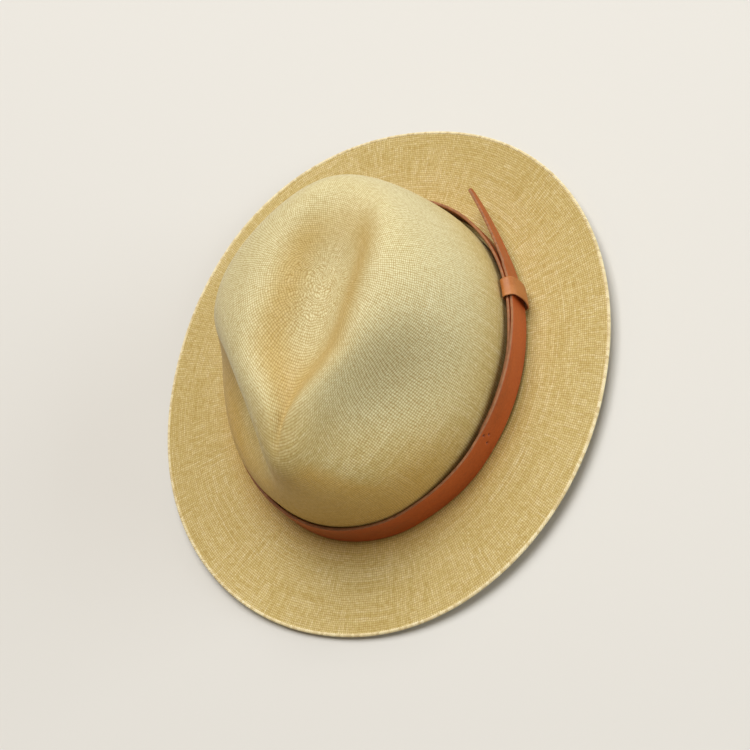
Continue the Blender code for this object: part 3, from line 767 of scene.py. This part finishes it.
def make_keeper(material):
    """A loose leather loop round both layers of the strap, swollen outward, with rounded edges."""
    theta = math.acos(-KEEPER_PLACE / (CROWN_HALF_LENGTH + KEEPER_OFFSET))
    around = math.degrees(theta)
    arc = math.hypot(CROWN_HALF_WIDTH * math.cos(theta), CROWN_HALF_LENGTH * math.sin(theta)) + KEEPER_OFFSET
    wall = KEEPER_WALL / 2
    low = strap_bottom(around) - KEEPER_PLAY - wall
    high = strap_bottom(around) + STRAP_WIDTH + KEEPER_PLAY + wall
    near = inner_layer(around) - STRAP_THICK / 2 - SLIDE_GAP - wall
    far = inner_layer(around) + 1.5 * STRAP_THICK + LAYER_GAP + SLIDE_GAP + wall
    line, normal = rounded_loop(near, far, low, high, KEEPER_CORNER, 9)
    dense, dense_normal = [], []
    for a, b, m, k in zip(line, np.roll(line, -1, 0), normal, np.roll(normal, -1, 0)):
        count = max(1, round(np.linalg.norm(b - a) / KEEPER_SPACING))
        for t in np.arange(count) / count:
            dense.append(a + (b - a) * t)
            way = m + (k - m) * t
            dense_normal.append(way / np.linalg.norm(way))
    line, normal = np.array(dense), np.array(dense_normal)
    middle = (low + high) / 2
    swell = np.clip(1 - ((line[:, 1] - middle) / (high - middle)) ** 2, 0, 1) * (line[:, 0] > (near + far) / 2)
    line = line + normal * (swell * KEEPER_SWELL)[:, None]
    turn = np.arange(20) * 2 * math.pi / 20
    along = flattened(np.cos(turn)) * KEEPER_LENGTH / 2
    thick = flattened(np.sin(turn)) * wall
    lip = np.maximum(np.abs(along) / (KEEPER_LENGTH / 2) - 0.5, 0) ** 2 * KEEPER_LIP
    across = line[:, None, 0] + normal[:, None, 0] * (thick + lip)
    up = line[:, None, 1] + normal[:, None, 1] * (thick + lip)
    points = wall_point(theta + along / arc, up, across)
    edge = smooth(np.abs(np.cos(turn)), 0.93, 0.995)
    inside = smooth(-np.sin(turn), 0.2, 0.6) * 0.7
    run = np.concatenate([[0], np.cumsum(np.linalg.norm(np.diff(line, axis=0), axis=1))])
    faces = grid_faces(len(line), len(turn), True, True)
    obj = mesh_object("hatband_loop", points, faces, [
        ("run", np.repeat(run, len(turn))), ("across", np.tile(along, len(line))),
        ("edge", np.tile(np.maximum(edge, inside), len(line))), ("hole", np.zeros(len(line) * len(turn))),
    ])
    recalculate(obj)
    place(obj, "keeper", "keeper_leather", material, "hatband_keeper")


def make_tack_thread(material):
    """Dark tacking thread, sunk in the three awl holes of the lap."""
    face = outer_layer(TACK_PLACE + 360) + STRAP_THICK / 2
    pieces = []
    for k, (turn, up) in enumerate(TACK_HOLES):
        arch = np.linspace(-1, 1, 9)
        height = up + 0.00045 * arch
        offset = face - 0.0007 - 0.0005 * arch ** 2
        path = wall_point(math.radians(turn) + 0 * arch, height, offset)
        pieces.append(tube(f"tack_{k}", path, THREAD_RADIUS, 8))
    obj = join("hatband_tack_stitches", pieces)
    place(obj, "hatband", "dark_thread", material, "hatband_tack_thread")


# ---------------------------------------------------------------- the sweatband

def ring(name, line, thickness, slot, material, node):
    """A band round the inside of the crown: line is its section's middle, in (offset, height)."""
    line = np.asarray(line, float)
    ahead = np.gradient(line, axis=0)
    ahead /= np.linalg.norm(ahead, axis=1, keepdims=True)
    normal = np.stack([ahead[:, 1], -ahead[:, 0]], 1)
    half = np.full(len(line), thickness / 2)
    half[[0, -1]] *= 0.45
    section = np.concatenate([line + normal * half[:, None], (line - normal * half[:, None])[::-1]])
    theta = (np.arange(RING_COLUMNS) * 2 * math.pi / RING_COLUMNS)[:, None]
    wave = 1 + 0.006 * np.sin(3 * theta + 0.5) * smooth(section[:, 1], 0.010, 0.030)
    points = wall_point(theta, section[:, 1] * wave, section[:, 0])
    faces = grid_faces(RING_COLUMNS, len(section), True, True)
    girth = 2 * math.pi * math.sqrt(CROWN_HALF_WIDTH * CROWN_HALF_LENGTH)
    run = np.repeat(np.arange(RING_COLUMNS) / RING_COLUMNS * girth, len(section))
    across = np.tile(section[:, 1], RING_COLUMNS)
    edge = np.tile(np.concatenate([np.zeros(len(line)), np.full(len(line), 0.8)]), RING_COLUMNS)
    back = np.abs(np.abs(np.repeat(theta[:, 0], len(section))) - math.pi) * CROWN_HALF_WIDTH
    seam = np.exp(-(back / 0.0004) ** 2) * (across > SWEATBAND_FOOT)
    obj = mesh_object(name, points, faces, [("run", run), ("across", across), ("edge", edge), ("hole", seam)])
    recalculate(obj)
    place(obj, "hat", slot, material, node)


def make_sweatband(leather):
    """Leather band that folds round the reed at its foot."""
    reed = (SWEATBAND_IN, RING_GAP + REED_RADIUS)
    turn = np.radians(np.arange(20, -181, -20))
    fold = [(reed[0] + FOLD_RADIUS * math.cos(t), reed[1] + FOLD_RADIUS * math.sin(t)) for t in turn]
    wall = SWEATBAND_OUT - SWEATBAND_THICK / 2
    neck = [(reed[0] - FOLD_RADIUS + 0.0004, reed[1] + 0.0009), (wall - 0.0007, reed[1] + 0.0019)]
    heights = np.linspace(SWEATBAND_FOOT + 0.0008, SWEATBAND_FOOT + SWEATBAND_HEIGHT, 12)
    upright = [(wall - 0.0005 * ((h - heights[0]) / SWEATBAND_HEIGHT) ** 2, h) for h in heights]
    ring("sweatband_leather_band", fold + neck + upright, SWEATBAND_THICK * 0.8, "sweatband_leather", leather,
         "sweatband")


def make_welt(tape):
    """Woven tape between the sweatband's foot and the straw."""
    middle = -(STRAW + RING_GAP + WELT_THICK / 2)
    line = [(middle, SWEATBAND_FOOT + share * WELT_HEIGHT) for share in np.linspace(0, 1, 6)]
    ring("sweatband_tape", line, WELT_THICK, "welt_tape", tape, "sweatband_welt")


def make_reed(plastic):
    """The reed inside the sweatband's fold."""
    theta = np.arange(RING_COLUMNS) * 2 * math.pi / RING_COLUMNS
    path = wall_point(theta, RING_GAP + REED_RADIUS, SWEATBAND_IN)
    obj = tube("sweatband_reed_cord", path, REED_RADIUS * 0.9, 12, closed=True)
    place(obj, "hat", "reed_plastic", plastic, "sweatband_reed")


def make_running_stitches(thread):
    """The sweatband's sewing, stitch by stitch."""
    surface = SWEATBAND_IN + 0.1 * SWEATBAND_THICK
    height = SWEATBAND_FOOT + STITCH_MARGIN
    pieces = []
    for k in range(STITCHES):
        share = np.linspace(-STITCH_SHARE, STITCH_SHARE, 7)
        theta = (k + share) * 2 * math.pi / STITCHES
        sunk = (np.abs(share) / STITCH_SHARE) ** 4
        offset = surface - THREAD_RADIUS * 0.7 + sunk * 0.0006
        pieces.append(tube(f"stitch_{k}", wall_point(theta, height, offset), THREAD_RADIUS, 6))
    place(join("sweatband_stitches", pieces), "hat", "light_thread", thread, "sweatband_thread")


def make_seam_thread(thread):
    """Zigzag thread over the sweatband's butt joint at the back."""
    surface = SWEATBAND_IN + 0.1 * SWEATBAND_THICK
    swing = (np.abs((np.linspace(0, SEAM_CROSSINGS, 12 * SEAM_CROSSINGS) % 2) - 1) * 2 - 1) * SEAM_SWING
    height = np.linspace(SEAM_LOW, SEAM_HIGH, len(swing))
    offset = surface - THREAD_RADIUS * 0.8 + 0.0003 * (np.abs(swing) / SEAM_SWING) ** 6
    path = wall_point(math.pi + swing / CROWN_HALF_WIDTH, height, offset)
    obj = tube("sweatband_zigzag", path, THREAD_RADIUS * 0.9, 8)
    place(obj, "hat", "dark_thread", thread, "sweatband_seam_thread")


def ribbon(name, path, width):
    """A ribbon that stands upright on a path in the ground plane: width is its height at each point."""
    path = np.asarray(path, float)
    ahead = np.gradient(path[:, :2], axis=0)
    ahead /= np.linalg.norm(ahead, axis=1, keepdims=True)
    across = np.stack([-ahead[:, 1], ahead[:, 0]], 1)
    side = across * RIBBON_THICK / 2
    width = np.broadcast_to(width, len(path))
    rise = np.linspace(-0.5, 0.5, 9)
    cup = 0.0003 * (1 - (2 * rise) ** 2)
    front = np.empty((len(path), len(rise), 3))
    front[:, :, :2] = (path[:, :2] + side)[:, None] + across[:, None] * cup[None, :, None]
    front[:, :, 2] = path[:, 2:3] + rise * width[:, None]
    rear = front.copy()
    rear[:, :, :2] -= 2 * side[:, None]
    points = np.concatenate([front, rear[:, ::-1]], 1)
    columns = 2 * len(rise)
    faces = grid_faces(len(path), columns, False, True)
    faces.append(tuple(range(columns)))
    faces.append(tuple(range(len(path) * columns - 1, (len(path) - 1) * columns - 1, -1)))
    run = np.concatenate([[0], np.cumsum(np.linalg.norm(np.diff(path, axis=0), axis=1))])
    height = np.concatenate([rise, rise[::-1]]) * RIBBON_WIDTH
    obj = mesh_object(name, points, faces, [
        ("run", np.repeat(run, columns)), ("across", np.tile(height, len(path)))])
    recalculate(obj)
    return obj


def make_bow(tape):
    """Small flat ribbon bow with two loops, two tails and a knot, over the back joint."""
    low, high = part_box("sweatband_bow")
    middle = (low + high) / 2
    half = (high.x - low.x) / 2
    deep = (high.y - low.y) / 2
    turn = np.linspace(0, math.pi, 33)
    pieces = []
    for side in (1, -1):
        x = middle.x + side * half * np.sin(turn) ** 0.8
        y = middle.y + deep * 0.75 * np.cos(turn)
        z = middle.z + 0.0004 * np.cos(turn)
        width = 0.0030 + 0.0055 * np.sin(turn) ** 0.9
        pieces.append(ribbon(f"bow_loop_{side + 1}", np.stack([x, y, z], 1), width))
        run = np.linspace(0, 1, 14)
        tail_x = middle.x + side * half * 0.55 * run
        tail_y = middle.y - deep * 0.2 + 0 * run
        tail_z = middle.z - 0.0032 * run ** 1.3
        tail = np.stack([tail_x, tail_y, tail_z], 1)
        pieces.append(ribbon(f"bow_tail_{side + 1}", tail, 0.0022 + 0.0008 * run))
    wrap = np.linspace(0, 1.96 * math.pi, 40)
    knot = np.stack([middle.x + KNOT_HALF_WIDTH * np.cos(wrap), middle.y + deep * 1.05 * np.sin(wrap),
                     middle.z + 0 * wrap], 1)
    pieces.append(ribbon("bow_knot", knot, KNOT_HEIGHT - 0.0006 * np.abs(np.cos(wrap))))
    place(join("sweatband_ribbon_bow", pieces), "hat", "bow_ribbon", tape, "sweatband_bow")


# ---------------------------------------------------------------- the back-woven rim

def make_rim(material):
    """The brim's finished edge: strands turned back and plaited into a fine cord of slanted stitches."""
    columns = RIM_TURNS * 10
    theta = np.arange(columns) * 2 * math.pi / columns
    edge = brim_surface(theta, 1.0) - (0, 0, STRAW / 2)
    inner = brim_surface(theta, 0.97) - (0, 0, STRAW / 2)
    out = edge - inner
    out /= np.linalg.norm(out, axis=1, keepdims=True)
    ahead = np.roll(edge, -1, 0) - np.roll(edge, 1, 0)
    ahead /= np.linalg.norm(ahead, axis=1, keepdims=True)
    above = np.cross(out, ahead)
    above *= np.sign(above[:, 2:3])
    length = np.concatenate([[0], np.cumsum(np.linalg.norm(np.diff(edge, axis=0), axis=1))])
    total = length[-1] + np.linalg.norm(edge[0] - edge[-1])
    pieces = []
    for strand in range(RIM_STRANDS):
        turn = 2 * math.pi * (RIM_TURNS * length / total + strand / RIM_STRANDS)
        sideways = RIM_RADIUS * (np.cos(turn) - 1)
        upward = RIM_RADIUS * 0.8 * np.sin(turn)
        path = edge + out * sideways[:, None] + above * upward[:, None]
        pieces.append(tube(f"rim_{strand}", path, RIM_STRAND_RADIUS, 7, closed=True))
    obj = join("straw_rim_plait", pieces)
    place(obj, "hat", "straw", material)


def rim_material(name):
    """Straw strands of the rim, a little paler than the weave."""
    n = Nodes(name)
    run, around = n.attribute("run"), n.attribute("around")
    where = n.position()
    stitch = n.white(n.math("FLOOR", n.math("MULTIPLY", run, 1 / 0.0022)), 1.0)
    fibre = n.noise(n.combine(n.math("MULTIPLY", run, 120.0), n.math("MULTIPLY", around, 9.0), 0.0), 1.0, 4.0)
    tone = n.sum((stitch, 0.4), (fibre, 0.4), (n.noise(where, 30.0), 0.2))
    colour = n.ramp(tone, *RIM_TONES)
    normal = n.bump(fibre, 0.4, 0.0001)
    return n.finish(colour, n.spread(tone, 0.2, 0.8, 0.62, 0.45), normal, Specular_IOR_Level=0.42)


# ---------------------------------------------------------------- camera, light and floor

def make_camera():
    """The camera, above the front left, turned so the hat's front points down in the picture."""
    azimuth, elevation, roll = math.radians(52.13), math.radians(56.22), math.radians(45.53)
    distance, shift_right, shift_up = 0.88563, -0.00412, -0.00192
    level = Vector((math.cos(azimuth), math.sin(azimuth), 0))
    back = Vector((math.sin(azimuth) * math.cos(elevation), -math.cos(azimuth) * math.cos(elevation),
                   math.sin(elevation)))
    above = back.cross(level)
    right = level * math.cos(roll) - above * math.sin(roll)
    up = level * math.sin(roll) + above * math.cos(roll)
    data = bpy.data.cameras.new("camera")
    data.sensor_width = 36
    data.lens = 72
    data.clip_start, data.clip_end = 0.01, 50
    camera = bpy.data.objects.new("camera", data)
    bpy.context.scene.collection.objects.link(camera)
    turn = Matrix((right, up, back)).transposed()
    spot = back * distance + right * shift_right + up * shift_up + Vector((0, -0.00042, 0.0015))
    camera.matrix_world = Matrix.Translation(spot) @ turn.to_4x4()
    bpy.context.scene.camera = camera
    return right, up, back


def add_area(name, direction, power, colour):
    """A soft square light that faces the middle of the hat."""
    data = bpy.data.lights.new(name, "AREA")
    data.shape = "SQUARE"
    data.size = LIGHT_SIZE
    data.energy = power
    data.color = colour
    obj = bpy.data.objects.new(name, data)
    bpy.context.scene.collection.objects.link(obj)
    direction = direction.normalized()
    obj.location = Vector((0, 0, 0.04)) + direction * LIGHT_DISTANCE
    obj.rotation_mode = "QUATERNION"
    obj.rotation_quaternion = direction.to_track_quat("Z", "Y")


def make_studio(right, up, back):
    """Soft light from the top of the view and from its right, a weak warm surround, and a pale floor."""
    add_area("key_light", up * 0.72 + back * 0.6 - right * 0.36, 174.0, (1.0, 0.985, 0.955))
    add_area("side_light", right * 0.8 + back * 0.5 + up * 0.3, 92.0, (0.88, 0.96, 1.0))
    world = bpy.data.worlds.new("studio")
    world.use_nodes = True
    world.node_tree.nodes["Background"].inputs["Color"].default_value = (1.0, 0.84, 0.60, 1)
    world.node_tree.nodes["Background"].inputs["Strength"].default_value = 0.19
    bpy.context.scene.world = world
    mesh = bpy.data.meshes.new("floor")
    corners = [(-FLOOR_HALF, -FLOOR_HALF, 0), (FLOOR_HALF, -FLOOR_HALF, 0),
               (FLOOR_HALF, FLOOR_HALF, 0), (-FLOOR_HALF, FLOOR_HALF, 0)]
    mesh.from_pydata(corners, [], [(0, 1, 2, 3)])
    floor = bpy.data.objects.new("floor", mesh)
    floor.location.z = cad_box[0].z - FLOOR_GAP
    bpy.context.scene.collection.objects.link(floor)
    n = Nodes("floor")
    mesh.materials.append(n.finish((0.72, 0.71, 0.69, 1), 0.9))


bpy.context.scene.view_settings.view_transform = "Standard"
make_studio(*make_camera())

make_straw(straw_material("straw"))
make_rim(rim_material("rim_straw"))
make_strap(leather_material("strap_leather", (0.26, 0.042, 0.005), (0.41, 0.072, 0.009), (0.52, 0.11, 0.018),
                            (0.36, 0.15, 0.060)))
make_keeper(leather_material("keeper_leather", (0.33, 0.100, 0.020), (0.43, 0.148, 0.036), (0.54, 0.22, 0.066),
                             (0.52, 0.24, 0.11)))
dark_thread = thread_material("dark_thread", (0.030, 0.014, 0.008), (0.12, 0.06, 0.03))
make_tack_thread(dark_thread)
make_sweatband(leather_material("sweatband_leather", (0.17, 0.075, 0.032), (0.27, 0.135, 0.062),
                                (0.38, 0.21, 0.105), (0.42, 0.27, 0.16), grain=1100.0, rough=(0.42, 0.62)))
make_welt(tape_material("welt_tape", (0.075, 0.058, 0.045), (0.20, 0.165, 0.13)))
make_reed(reed_material("reed_plastic"))
make_running_stitches(thread_material("light_thread", (0.36, 0.25, 0.13), (0.72, 0.58, 0.38)))
make_seam_thread(dark_thread)
make_bow(tape_material("bow_ribbon", (0.045, 0.022, 0.012), (0.16, 0.085, 0.045)))
